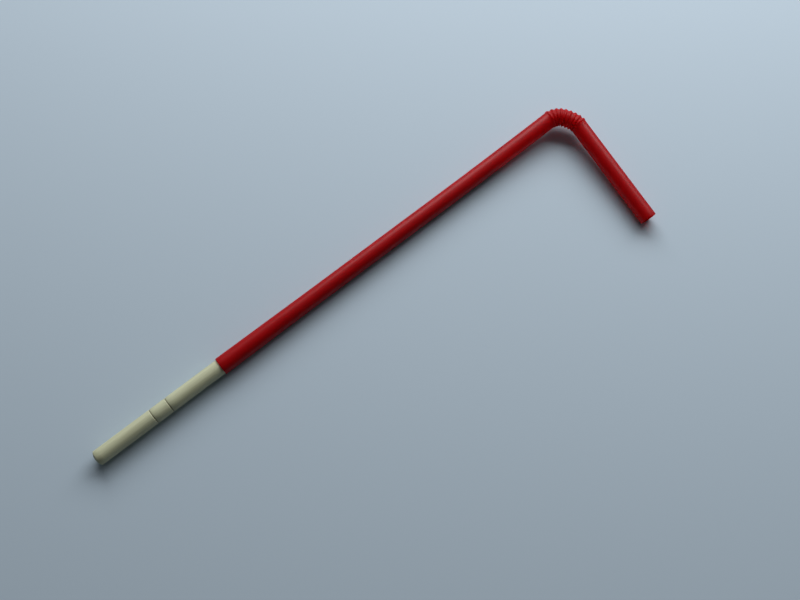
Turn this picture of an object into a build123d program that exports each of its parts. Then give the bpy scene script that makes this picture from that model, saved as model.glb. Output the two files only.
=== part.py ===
"""Flexible drinking straw, bent at its bellows, with a scored round stick pushed into its lower end.

The straw lies on the floor (Z = 0). Its stem runs along +X, rises a little towards the bellows,
and the mouth tube turns off towards -Y and comes down to the floor again. Millimetres.
"""

import os
from math import asin, atan2, cos, degrees, hypot, radians, sin, sqrt

from build123d import *

# Straw tube
tube_radius = 3.0
wall = 0.2
straight_length = 91.0  # stem from the cut end to where it starts to rise
rise_run = 55.0  # rest of the stem, up to the bellows
rise = 1.8  # how far the stem curves up over that run
mouth_length = 41.9
rim_round = 0.05  # rounding of the two cut edges
flare = 0.2  # how much wider the cut end's radius is, from having the stick pushed in
flare_length = 40.0

# Bellows: every pleat stands open on the outside of the bend, and closes on the inside
crest_height = 0.3  # out from the plain tube
root_depth = 0.15  # in from the plain tube
pleat_wall = 0.12  # forming the pleats thins the wall
open_pitch = 1.9  # crest to crest, along the outside of the bend
root_share = 0.6  # the leg after a crest is the longer one
end_step = 0.6  # from a plain tube to its nearest crest, on the centre line
end_turn = 8.0  # degrees
pleat_turns = [11.8, 11.8, 12.2, 10.8, 6.4, 4.4, 8.4, 12.8]  # degrees, from the stem on

# Stick
stick_gap = 0.02  # between the stick and the straw's bore
stick_shown = 50.7  # length outside the straw
stick_reach = 29.0  # how far its hidden end reaches past the start of the rise
dome_height = 0.95
ring_places = [23.4, 29.7]  # from the domed end
ring_width = 0.5
hidden_chamfer = 0.4

# Worked out
bore_radius = tube_radius - wall
crest_radius = tube_radius + crest_height
root_radius = tube_radius - root_depth
cut_radius = tube_radius + flare
stick_radius = bore_radius - stick_gap
rise_radius = (rise_run**2 + rise**2) / (2 * rise)
rise_angle = degrees(atan2(rise_run, rise_radius - rise))
# The stem leans down from its flared end, which rests on the floor as the start of the rise does.
lean = degrees((sqrt(straight_length**2 + 2 * rise_radius * flare) - straight_length) / rise_radius)


def step_on(station, length, turn):
    """The next station on the bend's centre line: its x, y and heading in degrees."""
    x, y, heading = station
    middle = radians(heading + turn / 2)
    return x + length * cos(middle), y + length * sin(middle), heading + turn


def fold_inset(pitch):
    """How far in the wall's inner face lies at a fold, for pleats of this pitch."""
    depth = crest_radius - root_radius
    return pleat_wall * hypot(pitch / 2, depth) / (pitch / 2)


def fold(station, radius, turn):
    """One fold of the bellows: its station, outer radius, and insets outside and inside the bend."""
    closed_pitch = open_pitch - 2 * crest_radius * radians(turn)
    return station, radius, fold_inset(open_pitch), fold_inset(closed_pitch)


# The bend's centre line and its folds, from the end of the stem to the start of the mouth tube
crest = step_on((0, 0, 0), end_step, end_turn)
folds = [fold(crest, crest_radius, pleat_turns[0])]
for turn in pleat_turns:
    advance = open_pitch - crest_radius * radians(turn)
    root = step_on(crest, root_share * advance, root_share * turn)
    crest = step_on(root, (1 - root_share) * advance, (1 - root_share) * turn)
    folds += [fold(root, root_radius, turn), fold(crest, crest_radius, turn)]
bend_end = step_on(crest, end_step, end_turn)
mouth_end = step_on(bend_end, mouth_length, 0)

# The stem's plane stands upright: x along the stem, y up from its axis.
stem_plane = Plane(
    origin=(0, 0, cut_radius * cos(radians(lean))),
    x_dir=(cos(radians(lean)), 0, -sin(radians(lean))),
    z_dir=(0, -1, 0),
)
stem_axis = Axis(stem_plane.origin, stem_plane.x_dir)
stem_end = stem_plane.from_local_coords(Vector(straight_length + rise_run, rise, 0))
slope = radians(rise_angle - lean)
stem_heading = Vector(cos(slope), 0, sin(slope))

# The bend's plane: x along the end of the stem, y towards the mouth, turned down about the stem
# until the mouth's rim reaches the floor.
mouth_drop = stem_end.Z - tube_radius + mouth_end[0] * sin(slope)
droop = degrees(asin(mouth_drop / (mouth_end[1] * cos(slope))))
bend_plane = Plane(origin=stem_end, x_dir=stem_heading, z_dir=(sin(slope), 0, -cos(slope)))
bend_plane = bend_plane.rotated((droop, 0, 0))


def station_plane(station):
    """Plane square to the bend's centre line, with its x towards the inside of the bend."""
    x, y, heading = station
    along = Vector(cos(radians(heading)), sin(radians(heading)), 0)
    inward = Vector(-along.Y, along.X, 0)
    origin = bend_plane.from_local_coords(Vector(x, y, 0))
    return Plane(
        origin=origin,
        x_dir=bend_plane.from_local_coords(Vector(x, y, 0) + inward) - origin,
        z_dir=bend_plane.from_local_coords(Vector(x, y, 0) + along) - origin,
    )


# The straw: one extruded tube, its bellows formed in the same wall. It is made solid, then hollowed.
with BuildPart() as straw:
    for inset, mode in ((0, Mode.ADD), (wall, Mode.SUBTRACT)):
        radius = tube_radius - inset
        with BuildSketch(stem_plane):
            with BuildLine():
                Polyline(
                    (0, 0),
                    (0, cut_radius - inset),
                    (flare_length, radius),
                    (straight_length, radius),
                    (straight_length, 0),
                    close=True,
                )
            make_face()
        revolve(axis=stem_axis, mode=mode)

        with BuildLine(stem_plane) as rising:
            JernArc((straight_length, 0), (1, 0), rise_radius, rise_angle)
        with BuildSketch(Plane(origin=rising.line @ 0, z_dir=rising.line % 0)):
            Circle(radius)
        sweep(path=rising.line, mode=mode)

        with BuildSketch(station_plane((0, 0, 0))):
            Circle(radius)
        for station, fold_radius, inset_out, inset_in in folds:
            if mode == Mode.ADD:
                inset_out = inset_in = 0
            with BuildSketch(station_plane(station)):
                with Locations(((inset_out - inset_in) / 2, 0)):
                    Circle(fold_radius - (inset_out + inset_in) / 2)
        with BuildSketch(station_plane(bend_end)):
            Circle(radius)
        loft(ruled=True, mode=mode)

        with BuildSketch(station_plane(bend_end)):
            Circle(radius)
        extrude(amount=mouth_length, mode=mode)
    cut_face = straw.faces().filter_by(GeomType.PLANE).sort_by(stem_axis)[0]
    mouth_face = straw.faces().filter_by(GeomType.PLANE).sort_by(Axis.Y)[0]
    fillet(cut_face.edges() + mouth_face.edges(), radius=rim_round)

# The stick: a turned rod with a domed end and two scored rings. It fills the bore, and its hidden
# end tapers, to stay clear of the stem's wall where that climbs away from the stick's line.
climb = rise_radius - sqrt(rise_radius**2 - stick_reach**2)
hidden_length = straight_length + stick_reach
hidden_radius = stick_radius - climb
dome_radius = (stick_radius**2 + dome_height**2) / (2 * dome_height)
dome_angle = degrees(asin(stick_radius / dome_radius))
with BuildPart() as wooden_stick:
    with BuildSketch(stem_plane):
        with BuildLine():
            JernArc((-stick_shown, 0), (0, 1), dome_radius, -dome_angle)
            Polyline(
                (-stick_shown + dome_height, stick_radius),
                (straight_length, stick_radius),
                (hidden_length, hidden_radius),
                (hidden_length, 0),
                (-stick_shown, 0),
            )
        make_face()
        for place in ring_places:
            with Locations((place - stick_shown, stick_radius)):
                Rectangle(ring_width / sqrt(2), ring_width / sqrt(2), rotation=45, mode=Mode.SUBTRACT)
    revolve(axis=stem_axis)
    hidden_face = wooden_stick.faces().filter_by(GeomType.PLANE).sort_by(stem_axis)[-1]
    chamfer(hidden_face.edges(), length=hidden_chamfer)

# The origin is on the floor, under the middle of the whole object's box.
boxes = [piece.part.bounding_box() for piece in (straw, wooden_stick)]
middle = Vector(
    (min(box.min.X for box in boxes) + max(box.max.X for box in boxes)) / 2,
    (min(box.min.Y for box in boxes) + max(box.max.Y for box in boxes)) / 2,
    0,
)
straw.part = straw.part.moved(Location(-middle))
wooden_stick.part = wooden_stick.part.moved(Location(-middle))

os.makedirs("parts", exist_ok=True)
straw.part.label = "straw"
export_step(straw.part, "parts/straw.step")
wooden_stick.part.label = "wooden_stick"
export_step(wooden_stick.part, "parts/wooden_stick.step")
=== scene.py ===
"""A red bending straw on a pale floor, with a scored wooden stick pushed into its lower end."""

from math import asin, atan2, ceil, cos, pi, radians, sin, sqrt

import bpy
from mathutils import Matrix, Vector


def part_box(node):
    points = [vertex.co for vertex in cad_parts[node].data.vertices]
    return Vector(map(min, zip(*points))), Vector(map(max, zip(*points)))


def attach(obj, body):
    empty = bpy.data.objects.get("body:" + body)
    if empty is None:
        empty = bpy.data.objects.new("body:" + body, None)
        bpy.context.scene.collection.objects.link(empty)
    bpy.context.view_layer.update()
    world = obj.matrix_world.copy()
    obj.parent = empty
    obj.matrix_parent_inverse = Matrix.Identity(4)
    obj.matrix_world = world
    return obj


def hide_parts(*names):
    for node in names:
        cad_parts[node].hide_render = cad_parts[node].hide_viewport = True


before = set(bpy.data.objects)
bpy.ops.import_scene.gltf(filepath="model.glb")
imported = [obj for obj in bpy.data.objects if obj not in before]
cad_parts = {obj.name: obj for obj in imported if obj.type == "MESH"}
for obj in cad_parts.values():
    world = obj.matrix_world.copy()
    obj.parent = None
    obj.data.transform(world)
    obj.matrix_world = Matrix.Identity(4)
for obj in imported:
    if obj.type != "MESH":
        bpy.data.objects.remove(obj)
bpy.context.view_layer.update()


# ---------------------------------------------------------------------------------------------
# The straw. One thin polypropylene tube, coloured in the mass and extruded, with its bellows
# rolled into the same wall. It is made straight here, as in the factory, and then bent along
# its centre line. Its cut end has opened a little where the stick was pushed in.
# ---------------------------------------------------------------------------------------------

mm = 0.001  # sizes are in millimetres, and the scene is in metres
tube_radius = 3.0
wall = 0.2
stem_length = 91.0  # the straight part of the stem, up to where it starts to climb
rise_run = 55.0  # from there to the bellows the stem climbs
rise = 1.8
mouth_length = 41.9
flare = 0.2  # how much wider the cut end's radius is
flare_length = 40.0
rim_round = 0.05  # rounding of the two cut edges

crest_radius = 3.3
root_radius = 2.85
fold_inset = 0.15  # the wall across a fold
leg_straightness = 0.25  # 1 keeps the pleats' legs straight, and 0 rounds them over their whole length
open_pitch = 1.9  # crest to crest, along the outside of the bend
root_share = 0.6  # the leg after a crest is the longer one
end_step = 0.6  # from a plain tube to its nearest crest, on the centre line
end_turn = 8.0  # degrees
pleat_turns = [11.8, 11.8, 12.2, 10.8, 6.4, 4.4, 8.4, 12.8]  # degrees, from the stem on

rise_radius = (rise_run**2 + rise**2) / (2 * rise)
rise_turn = atan2(rise_run, rise_radius - rise)
cut_radius = tube_radius + flare
lean = (sqrt(stem_length**2 + 2 * rise_radius * flare) - stem_length) / rise_radius

# The stem leans down from its flared end, which rests on the floor, and the stick shares its axis.
straw_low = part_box("straw")[0] / mm
stick_low, stick_high = (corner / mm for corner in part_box("wooden_stick"))
stem_y = (stick_low.y + stick_high.y) / 2
cut_centre = Vector((straw_low.x + cut_radius * sin(lean), stem_y, cut_radius * cos(lean)))
stem_along = Vector((cos(lean), 0, -sin(lean)))
stem_up = Vector((sin(lean), 0, cos(lean)))

# The bellows' legs, each a length on the centre line, its turn in degrees and the fold it ends at
legs = [(end_step, end_turn, crest_radius)]
for turn in pleat_turns:
    advance = open_pitch - crest_radius * radians(turn)
    legs.append((root_share * advance, root_share * turn, root_radius))
    legs.append(((1 - root_share) * advance, (1 - root_share) * turn, crest_radius))
legs.append((end_step, end_turn, tube_radius))

# The centre line through the bend, in the bend's own plane
leg_steps = 8
bend_line = []
x = y = heading = 0.0
for length, turn, fold_radius in legs:
    for step in range(leg_steps):
        middle = heading + radians(turn) / leg_steps / 2
        x += length / leg_steps * cos(middle)
        y += length / leg_steps * sin(middle)
        heading += radians(turn) / leg_steps
        bend_line.append((x, y))
bend_line.append((x + mouth_length * cos(heading), y + mouth_length * sin(heading)))

# The bend's plane is turned down about the stem until the mouth's rim reaches the floor.
slope = rise_turn - lean
bend_start = (
    cut_centre
    + stem_along * (stem_length + rise_radius * sin(rise_turn))
    + stem_up * rise_radius * (1 - cos(rise_turn))
)
bend_along = Vector((cos(slope), 0, sin(slope)))
mouth_x, mouth_y = bend_line[-1]
droop = asin((bend_start.z - tube_radius + mouth_x * sin(slope)) / (mouth_y * cos(slope)))
bend_across = Vector((sin(droop) * sin(slope), -cos(droop), -sin(droop) * cos(slope)))

rise_steps = 60
line_points = [cut_centre]
for step in range(rise_steps + 1):
    angle = rise_turn * step / rise_steps
    along = stem_length + rise_radius * sin(angle)
    line_points.append(
        cut_centre + stem_along * along + stem_up * rise_radius * (1 - cos(angle))
    )
for x, y in bend_line:
    line_points.append(bend_start + bend_along * x + bend_across * y)

centre_line = bpy.data.objects.new("centre_line", bpy.data.curves.new("centre_line", "CURVE"))
bpy.context.scene.collection.objects.link(centre_line)
centre_line.data.dimensions = "3D"
spline = centre_line.data.splines.new("POLY")
spline.points.add(len(line_points) - 1)
for spot, point in zip(spline.points, line_points):
    spot.co = (*(point * mm), 1)

# The wall's section along the straight straw: its outer face, the mouth's rim, and back inside
plain_step = 2.0  # between the points of a plain stretch
rim_steps = 4


def plain_run(start, end, radius_at):
    """Points of a plain stretch of the wall, evenly spaced."""
    steps = ceil((end - start) / plain_step)
    places = [start + (end - start) * step / steps for step in range(1, steps)]
    return [(place, radius_at(place)) for place in places]


def end_radius(place):
    """The outer radius of the stem, which narrows from the flared end to the plain tube."""
    return tube_radius + flare * max(0.0, 1 - place / flare_length)


def fold_points(start, inset):
    """The bellows' folds, rounded at crests and roots, as (place, radius)."""
    points, place, radius = [], start, tube_radius
    for length, turn, fold_radius in legs:
        for step in range(1, leg_steps + 1):
            t = step / leg_steps
            eased = leg_straightness * t + (1 - leg_straightness) * t * t * (3 - 2 * t)
            points.append((place + length * t, radius + (fold_radius - radius) * eased - inset))
        place, radius = place + length, fold_radius
    return points


def rim(place, radius, facing):
    """The rounded edge of a cut end, from its outer corner to its inner one."""
    points = []
    for corner, first in ((radius - rim_round, 0), (radius - wall + rim_round, 1)):
        for step in range(rim_steps + 1):
            angle = pi / 2 * (first + step / rim_steps)
            across = place - facing * rim_round * (1 - sin(angle))
            points.append((across, corner + rim_round * cos(angle)))
    return points


stem_end = stem_length + rise_radius * rise_turn
mouth_start = stem_end + sum(length for length, turn, fold_radius in legs)
mouth_end = mouth_start + mouth_length
outside = plain_run(0, stem_end + plain_step / 2, end_radius)
outside += fold_points(stem_end, 0)
outside += plain_run(mouth_start, mouth_end, lambda place: tube_radius)
inside = plain_run(0, stem_end + plain_step / 2, lambda place: end_radius(place) - wall)
inside += fold_points(stem_end, fold_inset)
inside += plain_run(mouth_start, mouth_end, lambda place: tube_radius - wall)
section = outside + rim(mouth_end, tube_radius, 1) + inside[::-1]
section += rim(0, cut_radius, -1)[::-1]

section_mesh = bpy.data.meshes.new("straw_section")
section_mesh.from_pydata([(place * mm, radius * mm, 0) for place, radius in section], [], [])
straw_section = bpy.data.objects.new("straw_section", section_mesh)
bpy.context.scene.collection.objects.link(straw_section)

points_round = 96  # round the straw, and round the stick
weld_distance = 0.001  # closes the seams where the wall's two ends meet


def tree_socket(tree, name, kind, default=None):
    """A named input of a node tree."""
    socket = tree.interface.new_socket(name, in_out="INPUT", socket_type=kind)
    if default is not None:
        socket.default_value = default
    return socket


def wall_round_line():
    """Turns a wall's closed section (along, out) once round a centre line, and follows its bends."""
    tree = bpy.data.node_groups.new("wall_round_line", "GeometryNodeTree")
    tree_socket(tree, "Section", "NodeSocketGeometry")
    tree_socket(tree, "Centre line", "NodeSocketObject")
    tree_socket(tree, "Points round", "NodeSocketInt", points_round)
    tree_socket(tree, "Plastic", "NodeSocketMaterial")
    tree.interface.new_socket("Wall", in_out="OUTPUT", socket_type="NodeSocketGeometry")
    link = tree.links.new

    def node(kind, **settings):
        made = tree.nodes.new(kind)
        for name, value in settings.items():
            setattr(made, name, value)
        return made

    def math(operation, first, second=None):
        made = node("ShaderNodeMath", operation=operation)
        for socket, value in zip(made.inputs, (first, second)):
            if isinstance(value, (int, float)):
                socket.default_value = value
            elif value is not None:
                link(value, socket)
        return made.outputs[0]

    def vector(operation, first, second=None, scale=None):
        made = node("ShaderNodeVectorMath", operation=operation)
        link(first, made.inputs[0])
        if second is not None:
            link(second, made.inputs[1])
        if scale is not None:
            link(scale, made.inputs["Scale"])
        return made.outputs[0]

    entry = node("NodeGroupInput")
    size = node("GeometryNodeAttributeDomainSize", component="MESH")
    link(entry.outputs["Section"], size.inputs[0])
    points = size.outputs["Point Count"]
    per_row = math("ADD", entry.outputs["Points round"], 1)

    grid = node("GeometryNodeMeshGrid")
    link(math("ADD", points, 1), grid.inputs["Vertices X"])
    link(per_row, grid.inputs["Vertices Y"])
    index = node("GeometryNodeInputIndex").outputs[0]
    row = math("FLOOR", math("DIVIDE", math("ADD", index, 0.5), per_row))
    column = math("SUBTRACT", index, math("MULTIPLY", row, per_row))
    angle = math("MULTIPLY", math("DIVIDE", column, entry.outputs["Points round"]), 2 * pi)

    spot = node("GeometryNodeSampleIndex", data_type="FLOAT_VECTOR", domain="POINT")
    link(entry.outputs["Section"], spot.inputs["Geometry"])
    link(node("GeometryNodeInputPosition").outputs[0], spot.inputs["Value"])
    link(math("FLOORED_MODULO", row, points), spot.inputs["Index"])
    split = node("ShaderNodeSeparateXYZ")
    link(spot.outputs[0], split.inputs[0])
    along, out = split.outputs["X"], split.outputs["Y"]

    line = node("GeometryNodeObjectInfo")
    link(entry.outputs["Centre line"], line.inputs["Object"])
    upright = node("GeometryNodeSetCurveNormal", mode="Z_UP")
    link(line.outputs["Geometry"], upright.inputs[0])
    place = node("GeometryNodeSampleCurve", mode="LENGTH")
    link(upright.outputs[0], place.inputs[0])
    link(along, place.inputs["Length"])
    side = place.outputs["Normal"]
    over = vector("CROSS_PRODUCT", place.outputs["Tangent"], side)
    out_side = math("MULTIPLY", out, math("COSINE", angle))
    out_over = math("MULTIPLY", out, math("SINE", angle))
    spoke = vector("ADD", vector("SCALE", side, scale=out_side), vector("SCALE", over, scale=out_over))

    bent = node("GeometryNodeSetPosition")
    link(grid.outputs["Mesh"], bent.inputs["Geometry"])
    link(vector("ADD", place.outputs["Position"], spoke), bent.inputs["Position"])

    straight = node("ShaderNodeCombineXYZ")
    link(along, straight.inputs["X"])
    link(out_side, straight.inputs["Y"])
    link(out_over, straight.inputs["Z"])
    kept = node("GeometryNodeStoreNamedAttribute", data_type="FLOAT_VECTOR", domain="POINT")
    kept.inputs["Name"].default_value = "straight"
    link(bent.outputs[0], kept.inputs["Geometry"])
    link(straight.outputs[0], kept.inputs["Value"])

    closed = node("GeometryNodeMergeByDistance")
    closed.inputs["Distance"].default_value = weld_distance * mm
    link(kept.outputs[0], closed.inputs[0])
    outward = node("GeometryNodeFlipFaces")
    link(closed.outputs[0], outward.inputs[0])
    smooth = node("GeometryNodeSetShadeSmooth")
    link(outward.outputs[0], smooth.inputs[0])
    real = node("GeometryNodeRealizeInstances")
    link(smooth.outputs[0], real.inputs[0])
    finish = node("GeometryNodeSetMaterial")
    link(real.outputs[0], finish.inputs[0])
    link(entry.outputs["Plastic"], finish.inputs["Material"])
    link(finish.outputs[0], node("NodeGroupOutput").inputs[0])
    return tree


class Shader:
    """A material under construction: short calls that add and join its nodes."""

    def __init__(self, name):
        self.material = bpy.data.materials.new(name)
        self.material.use_nodes = True
        self.tree = self.material.node_tree
        self.surface = self.tree.nodes["Principled BSDF"]

    def node(self, kind, **settings):
        made = self.tree.nodes.new(kind)
        for name, value in settings.items():
            setattr(made, name, value)
        return made

    def join(self, source, target):
        self.tree.links.new(source, target)

    def stretched(self, source, scale):
        """Coordinates scaled by three numbers, per metre."""
        made = self.node("ShaderNodeMapping")
        made.inputs["Scale"].default_value = scale
        self.join(source, made.inputs["Vector"])
        return made.outputs[0]

    def noise(self, coordinates, scale, detail=3.0, roughness=0.5):
        made = self.node("ShaderNodeTexNoise")
        made.inputs["Scale"].default_value = scale
        made.inputs["Detail"].default_value = detail
        made.inputs["Roughness"].default_value = roughness
        self.join(coordinates, made.inputs["Vector"])
        return made.outputs["Fac"]

    def ranged(self, source, low, high, to_low, to_high):
        made = self.node("ShaderNodeMapRange")
        made.inputs["From Min"].default_value = low
        made.inputs["From Max"].default_value = high
        made.inputs["To Min"].default_value = to_low
        made.inputs["To Max"].default_value = to_high
        self.join(source, made.inputs["Value"])
        return made.outputs[0]

    def mixed(self, share, first, second):
        """A colour between two, each a colour or another node's output."""
        made = self.node("ShaderNodeMix", data_type="RGBA")
        self.join(share, made.inputs["Factor"])
        colour_inputs = [socket for socket in made.inputs if socket.type == "RGBA"]
        for socket, value in zip(colour_inputs, (first, second)):
            if isinstance(value, tuple):
                socket.default_value = (*value, 1)
            else:
                self.join(value, socket)
        return next(socket for socket in made.outputs if socket.type == "RGBA")

    def bumped(self, height, distance, below=None):
        made = self.node("ShaderNodeBump")
        made.inputs["Distance"].default_value = distance
        self.join(height, made.inputs["Height"])
        if below is not None:
            self.join(below, made.inputs["Normal"])
        return made.outputs[0]


dull_red = (0.44, 0.0008, 0.003)
bright_red = (0.50, 0.0010, 0.004)
cloudy_red = (0.46, 0.0010, 0.005)
glow_red = (0.95, 0.002, 0.008)  # light that has come through the wall
glow_share = 0.58
plastic_ior = 1.49


def straw_plastic():
    """Satin red plastic with fine draw lines and faint clouds, thin enough to let light through."""
    paint = Shader("straw_plastic")
    straight = paint.node("ShaderNodeAttribute", attribute_name="straight").outputs["Vector"]
    lines = paint.noise(paint.stretched(straight, (5, 2200, 2200)), 1.0, 1.0)
    clouds = paint.noise(straight, 160.0, 2.0)
    grain = paint.noise(straight, 6000.0, 2.0)
    red = paint.mixed(paint.ranged(lines, 0.3, 0.7, 0, 1), dull_red, bright_red)
    red = paint.mixed(paint.ranged(clouds, 0.3, 0.8, 0, 0.5), red, cloudy_red)
    paint.join(red, paint.surface.inputs["Base Color"])
    paint.join(paint.ranged(clouds, 0.2, 0.8, 0.36, 0.42), paint.surface.inputs["Roughness"])
    bump = paint.bumped(lines, 0.001 * mm)
    bump = paint.bumped(grain, 0.002 * mm, bump)
    paint.join(bump, paint.surface.inputs["Normal"])
    paint.surface.inputs["IOR"].default_value = plastic_ior
    through = paint.node("ShaderNodeBsdfTranslucent")
    through.inputs["Color"].default_value = (*glow_red, 1)
    both = paint.node("ShaderNodeMixShader")
    both.inputs["Fac"].default_value = glow_share
    paint.join(paint.surface.outputs["BSDF"], both.inputs[1])
    paint.join(through.outputs["BSDF"], both.inputs[2])
    paint.join(both.outputs[0], paint.tree.nodes["Material Output"].inputs["Surface"])
    return paint.material


def made_plain(source, name, tree, settings):
    """The tree's result on an object, as a plain mesh object with that name."""
    modifier = source.modifiers.new("shape", "NODES")
    modifier.node_group = tree
    for item in tree.interface.items_tree:
        if item.name in settings:
            modifier[item.identifier] = settings[item.name]
    graph = bpy.context.evaluated_depsgraph_get()
    mesh = bpy.data.meshes.new_from_object(source.evaluated_get(graph), depsgraph=graph)
    mesh.name = name
    source.modifiers.remove(modifier)
    bpy.data.objects.remove(source)
    made = bpy.data.objects.new(name, mesh)
    bpy.context.scene.collection.objects.link(made)
    return made


straw = made_plain(
    straw_section,
    "straw_tube",
    wall_round_line(),
    {"Centre line": centre_line, "Points round": points_round, "Plastic": straw_plastic()},
)
bpy.data.objects.remove(centre_line)
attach(straw, "root")
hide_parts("straw")


# ---------------------------------------------------------------------------------------------
# The stick. A turned rod of pale wood with a low dome at its free end and two scored rings.
# It fills the straw's bore, and its hidden end tapers.
# ---------------------------------------------------------------------------------------------

stick_radius = 2.78
stick_shown = 50.7  # outside the straw
stick_hidden = 120.0  # inside it
hidden_radius = 2.28  # at the hidden end, which tapers from the start of the stem's climb
hidden_chamfer = 0.4
dome_height = 0.95
dome_steps = 14
worn_edge = [(-0.03, 0.05), (0.04, 0)]  # where the dome meets the side: along, and in from the side
ring_places = [23.4, 29.7]  # from the domed end
ring_width = 0.5
ring_depth = 0.25
ring_side = [(0.1, 0.22), (0.45, 0.02), (0.55, 0)]  # shares of the width from its middle, and depths
row_gap = 0.1  # from the dome or a ring to the plain side's next stretch

# The stick's outline from its domed end, as (along, radius)
dome_radius = (stick_radius**2 + dome_height**2) / (2 * dome_height)
dome_turn = asin(stick_radius / dome_radius)
outline = []
for step in range(1, dome_steps):
    angle = dome_turn * step / dome_steps
    outline.append((dome_radius * (1 - cos(angle)), dome_radius * sin(angle)))
outline += [(dome_height + along, stick_radius - depth) for along, depth in worn_edge]


def plain_rows(start, end):
    """Evenly spaced points of the stick's plain side, up to the end."""
    steps = ceil((end - start) / plain_step)
    return [(start + (end - start) * step / steps, stick_radius) for step in range(1, steps + 1)]


ring_section = [(-share, depth) for share, depth in reversed(ring_side)]
ring_section += [(0, ring_depth)] + ring_side
last = dome_height
for place in ring_places:
    outline += plain_rows(last + row_gap, place - ring_width)
    for share, depth in ring_section:
        outline.append((place + share * ring_width, stick_radius - depth))
    last = place + ring_width
outline += plain_rows(last, stick_shown)
outline += plain_rows(stick_shown, stick_shown + stem_length)
outline.append((stick_shown + stick_hidden - hidden_chamfer, hidden_radius))
outline.append((stick_shown + stick_hidden, hidden_radius - hidden_chamfer))

stick_start = cut_centre - stem_along * stick_shown
stem_side = Vector((0, 1, 0))
stick_points = [stick_start]
for along, radius in outline:
    for step in range(points_round):
        angle = 2 * pi * step / points_round
        spoke = stem_side * cos(angle) + stem_up * sin(angle)
        stick_points.append(stick_start + stem_along * along + spoke * radius)
stick_points.append(stick_start + stem_along * (stick_shown + stick_hidden))
stick_faces = []
for ring in range(len(outline) - 1):
    for step in range(points_round):
        a = 1 + ring * points_round + step
        b = 1 + ring * points_round + (step + 1) % points_round
        stick_faces.append((a, b, b + points_round, a + points_round))
back = len(stick_points) - 1
for step in range(points_round):
    after = (step + 1) % points_round
    stick_faces.append((0, 1 + after, 1 + step))
    stick_faces.append((back, back - points_round + step, back - points_round + after))

stick_mesh = bpy.data.meshes.new("stick")
stick_mesh.from_pydata([point * mm for point in stick_points], [], stick_faces)
stick_mesh.validate()
stick_mesh.shade_smooth()
stick_straight = stick_mesh.attributes.new("straight", "FLOAT_VECTOR", "POINT")
for spot, point in zip(stick_straight.data, stick_points):
    from_tip = (point - stick_start) * mm
    spot.vector = (from_tip.dot(stem_along), from_tip.dot(stem_side), from_tip.dot(stem_up))

fibre_shade = (0.47, 0.46, 0.28)
fibre_light = (0.60, 0.59, 0.385)
cloudy_cream = (0.53, 0.53, 0.35)
hair_brown = (0.36, 0.31, 0.18)
# Painted shade: a dark brown laid into the middle of each scored ring, standing in for the shade in
# its groove
painted_groove_shade = (0.10, 0.085, 0.04)
groove_shade_from = 0.06  # the painted shade in a scored ring fades between these distances from its middle
groove_shade_to = 0.24


def stick_wood():
    """Pale close-grained wood, sanded, with fine lengthwise fibres, and painted shade darkening the
    middle of its scored rings.
    """
    paint = Shader("stick_wood")
    straight = paint.node("ShaderNodeAttribute", attribute_name="straight").outputs["Vector"]
    fibres = paint.noise(paint.stretched(straight, (45, 1500, 1500)), 1.0, 4.0, 0.6)
    hairs = paint.noise(paint.stretched(straight, (160, 5200, 5200)), 1.0, 2.0)
    clouds = paint.noise(paint.stretched(straight, (1, 3, 3)), 60.0, 2.0)
    cream = paint.mixed(paint.ranged(fibres, 0.3, 0.7, 0, 1), fibre_shade, fibre_light)
    cream = paint.mixed(paint.ranged(clouds, 0.3, 0.7, 0, 0.6), cream, cloudy_cream)
    cream = paint.mixed(paint.ranged(hairs, 0.62, 0.75, 0, 0.35), cream, hair_brown)
    split = paint.node("ShaderNodeSeparateXYZ")
    paint.join(straight, split.inputs[0])
    # Painted shade: each scored ring's middle is darkened towards the dark brown
    for place in ring_places:
        past_ring = paint.node("ShaderNodeMath", operation="SUBTRACT")
        past_ring.inputs[1].default_value = place * mm
        paint.join(split.outputs["X"], past_ring.inputs[0])
        from_ring = paint.node("ShaderNodeMath", operation="ABSOLUTE")
        paint.join(past_ring.outputs[0], from_ring.inputs[0])
        groove_shade_share = paint.ranged(from_ring.outputs[0], groove_shade_from * mm, groove_shade_to * mm, 0.85, 0.0)
        cream = paint.mixed(groove_shade_share, cream, painted_groove_shade)
    paint.join(cream, paint.surface.inputs["Base Color"])
    paint.join(paint.ranged(fibres, 0.2, 0.8, 0.50, 0.66), paint.surface.inputs["Roughness"])
    bump = paint.bumped(fibres, 0.02 * mm)
    bump = paint.bumped(hairs, 0.008 * mm, bump)
    paint.join(bump, paint.surface.inputs["Normal"])
    return paint.material


stick = bpy.data.objects.new("stick", stick_mesh)
bpy.context.scene.collection.objects.link(stick)
stick_mesh.materials.append(stick_wood())
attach(stick, "root")
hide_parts("wooden_stick")


# ---------------------------------------------------------------------------------------------
# The floor. A pale blue-grey painted board, which isn't part of the object. Far from the object
# it glows a little, like a studio's paper sweep, so low views don't end in black.
# ---------------------------------------------------------------------------------------------

floor_half = 1.5
board_blue = (0.495, 0.578, 0.645)
sky_blue = (0.86, 0.94, 1.0)
glow_from = 0.2  # distances from the object, in metres
glow_to = 0.9
glow_strength = 0.42

floor_corners = [(x * floor_half, y * floor_half, 0) for x, y in ((-1, -1), (1, -1), (1, 1), (-1, 1))]
floor_mesh = bpy.data.meshes.new("floor")
floor_mesh.from_pydata(floor_corners, [], [(0, 1, 2, 3)])
floor = bpy.data.objects.new("floor", floor_mesh)
bpy.context.scene.collection.objects.link(floor)
board = Shader("pale_board")
board.surface.inputs["Base Color"].default_value = (*board_blue, 1)
board.surface.inputs["Roughness"].default_value = 0.7
board.surface.inputs["Emission Color"].default_value = (*sky_blue, 1)
outwards = board.node("ShaderNodeVectorMath", operation="LENGTH")
board.join(board.node("ShaderNodeTexCoord").outputs["Object"], outwards.inputs[0])
glow = board.ranged(outwards.outputs["Value"], glow_from, glow_to, 0, glow_strength)
board.join(glow, board.surface.inputs["Emission Strength"])
floor_mesh.materials.append(board.material)


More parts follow.
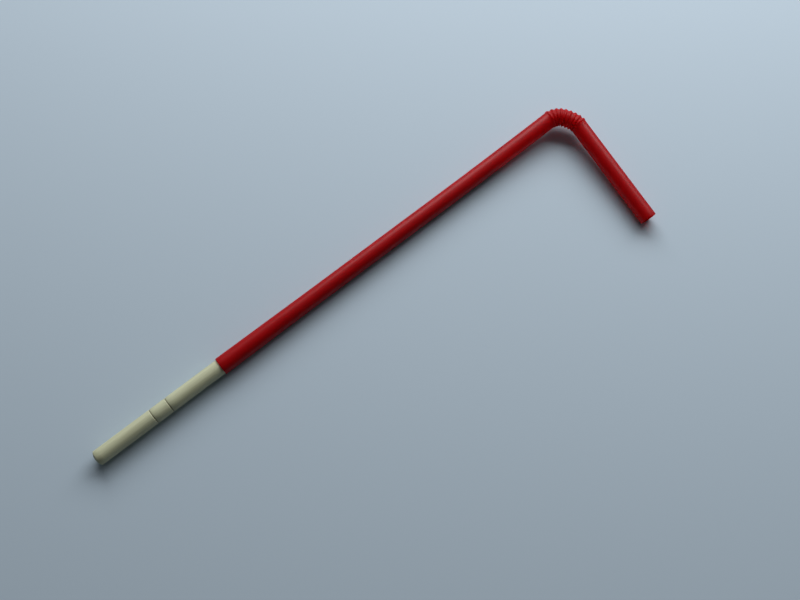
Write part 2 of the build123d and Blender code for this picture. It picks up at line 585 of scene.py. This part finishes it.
# ---------------------------------------------------------------------------------------------
# The camera and the light. The camera leans a little from straight above. A wide soft lamp stands
# beyond the bend, and a sky that is brighter on the lamp's side fills the shadows. The camera
# itself sees a plain pale backdrop in place of that sky.
# ---------------------------------------------------------------------------------------------

view_turn = radians(38.2)
view_tilt = radians(15.0)
view_distance = 331.3
view_centre = Vector((9.959, 5.054, 0))
focal_share = 1.1875  # focal length over the picture's width

picture_right = Vector((cos(view_turn), -sin(view_turn), 0))
picture_up = Vector((sin(view_turn), cos(view_turn), 0))
back_way = Vector((0, 0, 1)) * cos(view_tilt) - picture_up * sin(view_tilt)
camera = bpy.data.objects.new("camera", bpy.data.cameras.new("camera"))
bpy.context.scene.collection.objects.link(camera)
turned = Matrix((picture_right, back_way.cross(picture_right), back_way)).transposed()
camera_place = (view_centre + back_way * view_distance) * mm
camera.matrix_world = Matrix.Translation(camera_place) @ turned.to_4x4()
camera.data.sensor_width = 36.0
camera.data.lens = camera.data.sensor_width * focal_share
camera.data.clip_start = 0.01
bpy.context.scene.camera = camera

lamp_distance = 0.64  # metres
lamp_way = picture_right * 0.56 + picture_up * 3.05 + Vector((0, 0, 2.08))
lamp_data = bpy.data.lights.new("window_lamp", "AREA")
lamp_data.shape = "RECTANGLE"
lamp_data.size = 0.9
lamp_data.size_y = 0.35
lamp_data.energy = 5.7
lamp_data.color = (0.93, 0.965, 1.0)
lamp = bpy.data.objects.new("window_lamp", lamp_data)
bpy.context.scene.collection.objects.link(lamp)
lamp.visible_camera = False
lamp.location = lamp_way.normalized() * lamp_distance
lamp.rotation_mode = "QUATERNION"
lamp.rotation_quaternion = lamp_way.to_track_quat("Z", "Y")

dim_side = 0.02  # the sky's strength away from the lamp
bright_side = 0.45  # and on the lamp's side
backdrop = 0.48  # the strength that the camera sees
sky = bpy.data.worlds.new("sky")
bpy.context.scene.world = sky
sky.use_nodes = True
sky_nodes, sky_links = sky.node_tree.nodes, sky.node_tree.links
background = sky_nodes["Background"]
sky_way = sky_nodes.new("ShaderNodeTexCoord")
facing = sky_nodes.new("ShaderNodeVectorMath")
facing.operation = "DOT_PRODUCT"
facing.inputs[1].default_value = (lamp_way * Vector((1, 1, 0))).normalized()
sky_links.new(sky_way.outputs["Generated"], facing.inputs[0])
bright = sky_nodes.new("ShaderNodeMapRange")
bright.inputs["From Min"].default_value = -0.1
bright.inputs["From Max"].default_value = 1.0
bright.inputs["To Min"].default_value = dim_side
bright.inputs["To Max"].default_value = bright_side
sky_links.new(facing.outputs["Value"], bright.inputs["Value"])
seen = sky_nodes.new("ShaderNodeMix")
seen.inputs["B"].default_value = backdrop
sky_links.new(sky_nodes.new("ShaderNodeLightPath").outputs["Is Camera Ray"], seen.inputs["Factor"])
sky_links.new(bright.outputs[0], seen.inputs["A"])
sky_links.new(seen.outputs["Result"], background.inputs["Strength"])
background.inputs["Color"].default_value = (*sky_blue, 1)
bpy.context.scene.view_settings.view_transform = "Standard"
